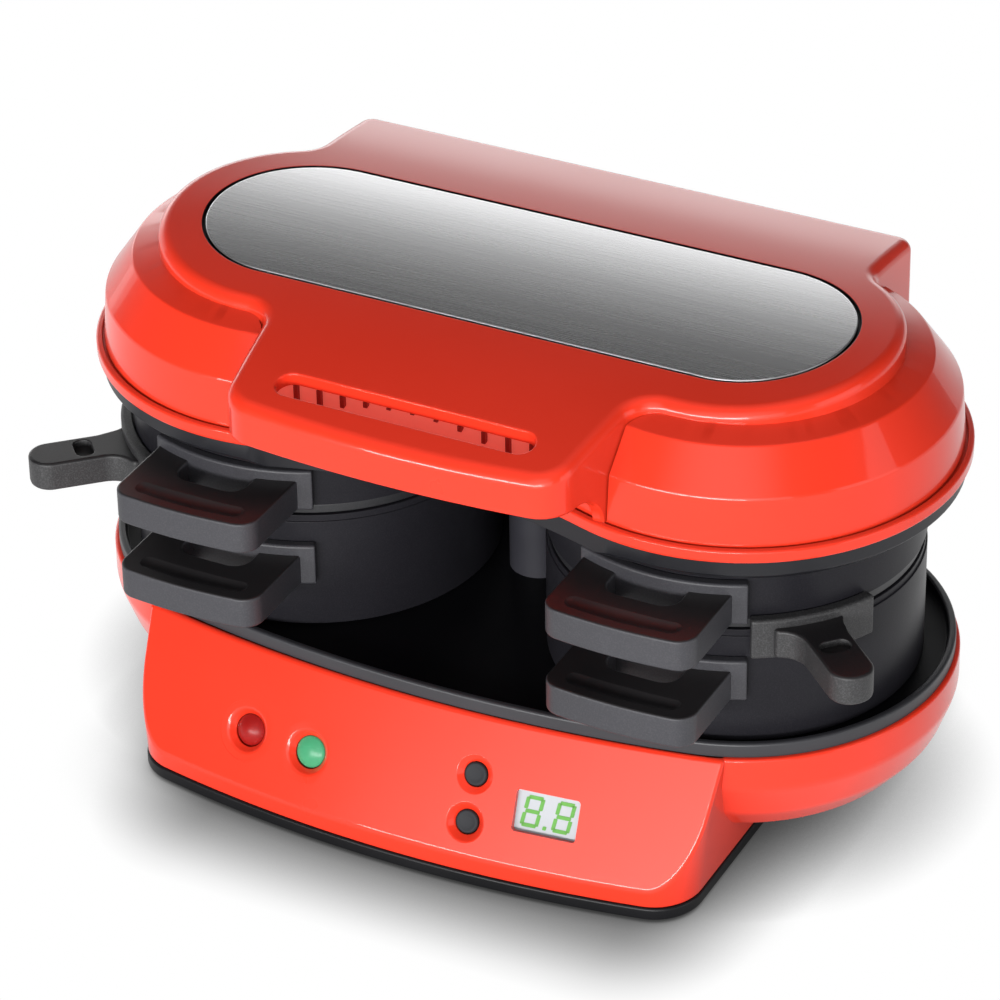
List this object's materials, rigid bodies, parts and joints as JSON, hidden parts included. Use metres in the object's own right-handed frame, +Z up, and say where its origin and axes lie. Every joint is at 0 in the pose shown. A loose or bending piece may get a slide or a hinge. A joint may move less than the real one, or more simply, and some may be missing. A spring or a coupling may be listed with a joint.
{
  "type": "two-station breakfast sandwich maker",
  "caption": "Countertop sandwich maker with a red hinged lid over two stacks of lift-up rings with swing-out cooking plates, on a red base with a drip tray and timer panel.",
  "frame": {"origin": "on the table under the middle of the object's box", "axes": "+X along the length to the right of the control panel, +Y to the hinge at the back, +Z up"},
  "size_m": [0.2698, 0.1636, 0.153],
  "materials": {
    "red_plastic": "gloss",
    "black_plastic": "satin",
    "grip_plastic": "satin",
    "ring_coating": "satin",
    "plate_coating": "satin",
    "heater_aluminium": "satin",
    "brushed_steel": "brushed",
    "plain_steel": "plain",
    "rubber": "matte",
    "red_lens": "clear",
    "green_lens": "clear",
    "window": "clear",
    "display_block": "matte",
    "board": "satin"
  },
  "bodies": {
    "base": {"base_housing": "red_plastic", "drip_tray": "black_plastic", "bottom_cover": "black_plastic", "rubber_feet": "rubber", "base_screws": "plain_steel", "hinge_tower": "black_plastic", "hinge_rod": "plain_steel", "lower_heater_left": "heater_aluminium", "lower_heater_right": "heater_aluminium", "lower_element_left": "plain_steel", "lower_element_right": "plain_steel", "thermostat_left": "plain_steel", "thermostat_right": "plain_steel", "control_board": "board", "tact_switches": "black_plastic", "display_module": "display_block", "display_window": "window", "power_lamp": "red_lens", "ready_lamp": "green_lens", "cord_gland": "rubber"},
    "lid": {"lid_cover": "red_plastic", "lid_underframe": "black_plastic", "steel_inlay": "brushed_steel", "upper_heater_left": "heater_aluminium", "upper_heater_right": "heater_aluminium", "upper_element_left": "plain_steel", "upper_element_right": "plain_steel", "lid_screws": "plain_steel"},
    "button_up": {"timer_button_up": "black_plastic"},
    "button_down": {"timer_button_down": "black_plastic"},
    "upper_left": {"upper_ring_left": "ring_coating", "upper_handle_left": "grip_plastic", "plate_pin_left": "plain_steel"},
    "lower_left": {"lower_ring_left": "ring_coating", "lower_handle_left": "grip_plastic"},
    "plate_left": {"cooking_plate_left": "plate_coating", "plate_handle_left": "grip_plastic"},
    "upper_right": {"upper_ring_right": "ring_coating", "upper_handle_right": "grip_plastic", "plate_pin_right": "plain_steel"},
    "lower_right": {"lower_ring_right": "ring_coating", "lower_handle_right": "grip_plastic"},
    "plate_right": {"cooking_plate_right": "plate_coating", "plate_handle_right": "grip_plastic"}
  },
  "joints": [
    {"name": "lid_hinge", "type": "hinge", "parent": "base", "child": "lid", "pos_m": [0, 0.0712, 0.097], "axis": [-1, 0, 0], "range_deg": [0, 100]},
    {"name": "upper_ring_hinge_left", "type": "hinge", "parent": "base", "child": "upper_left", "pos_m": [-0.0688, 0.0712, 0.097], "axis": [-1, 0, 0], "range_deg": [0, 75]},
    {"name": "lower_ring_hinge_left", "type": "hinge", "parent": "base", "child": "lower_left", "pos_m": [-0.0688, 0.0712, 0.097], "axis": [-1, 0, 0], "range_deg": [0, 50]},
    {"name": "plate_swing_left", "type": "hinge", "parent": "upper_left", "child": "plate_left", "pos_m": [-0.09905, 0.0586, 0.0877], "axis": [0, 0, -1], "range_deg": [0, 115]},
    {"name": "upper_ring_hinge_right", "type": "hinge", "parent": "base", "child": "upper_right", "pos_m": [0.0688, 0.0712, 0.097], "axis": [-1, 0, 0], "range_deg": [0, 75]},
    {"name": "lower_ring_hinge_right", "type": "hinge", "parent": "base", "child": "lower_right", "pos_m": [0.0688, 0.0712, 0.097], "axis": [-1, 0, 0], "range_deg": [0, 50]},
    {"name": "plate_swing_right", "type": "hinge", "parent": "upper_right", "child": "plate_right", "pos_m": [0.09905, 0.0586, 0.0877], "axis": [0, 0, 1], "range_deg": [0, 115]},
    {"name": "timer_button_up_press", "type": "slide", "parent": "base", "child": "button_up", "axis": [-0.0466, 0.904, -0.425], "range_m": [0, 0.0012], "stiffness_N_per_m": 250},
    {"name": "timer_button_down_press", "type": "slide", "parent": "base", "child": "button_down", "axis": [-0.0476, 0.904, -0.4249], "range_m": [0, 0.0012], "stiffness_N_per_m": 250}
  ],
  "couplings": [
    {"joint": "upper_ring_hinge_left", "follows": "lid_hinge", "ratio": 0.75},
    {"joint": "lower_ring_hinge_left", "follows": "lid_hinge", "ratio": 0.5},
    {"joint": "upper_ring_hinge_right", "follows": "lid_hinge", "ratio": 0.75},
    {"joint": "lower_ring_hinge_right", "follows": "lid_hinge", "ratio": 0.5}
  ]
}
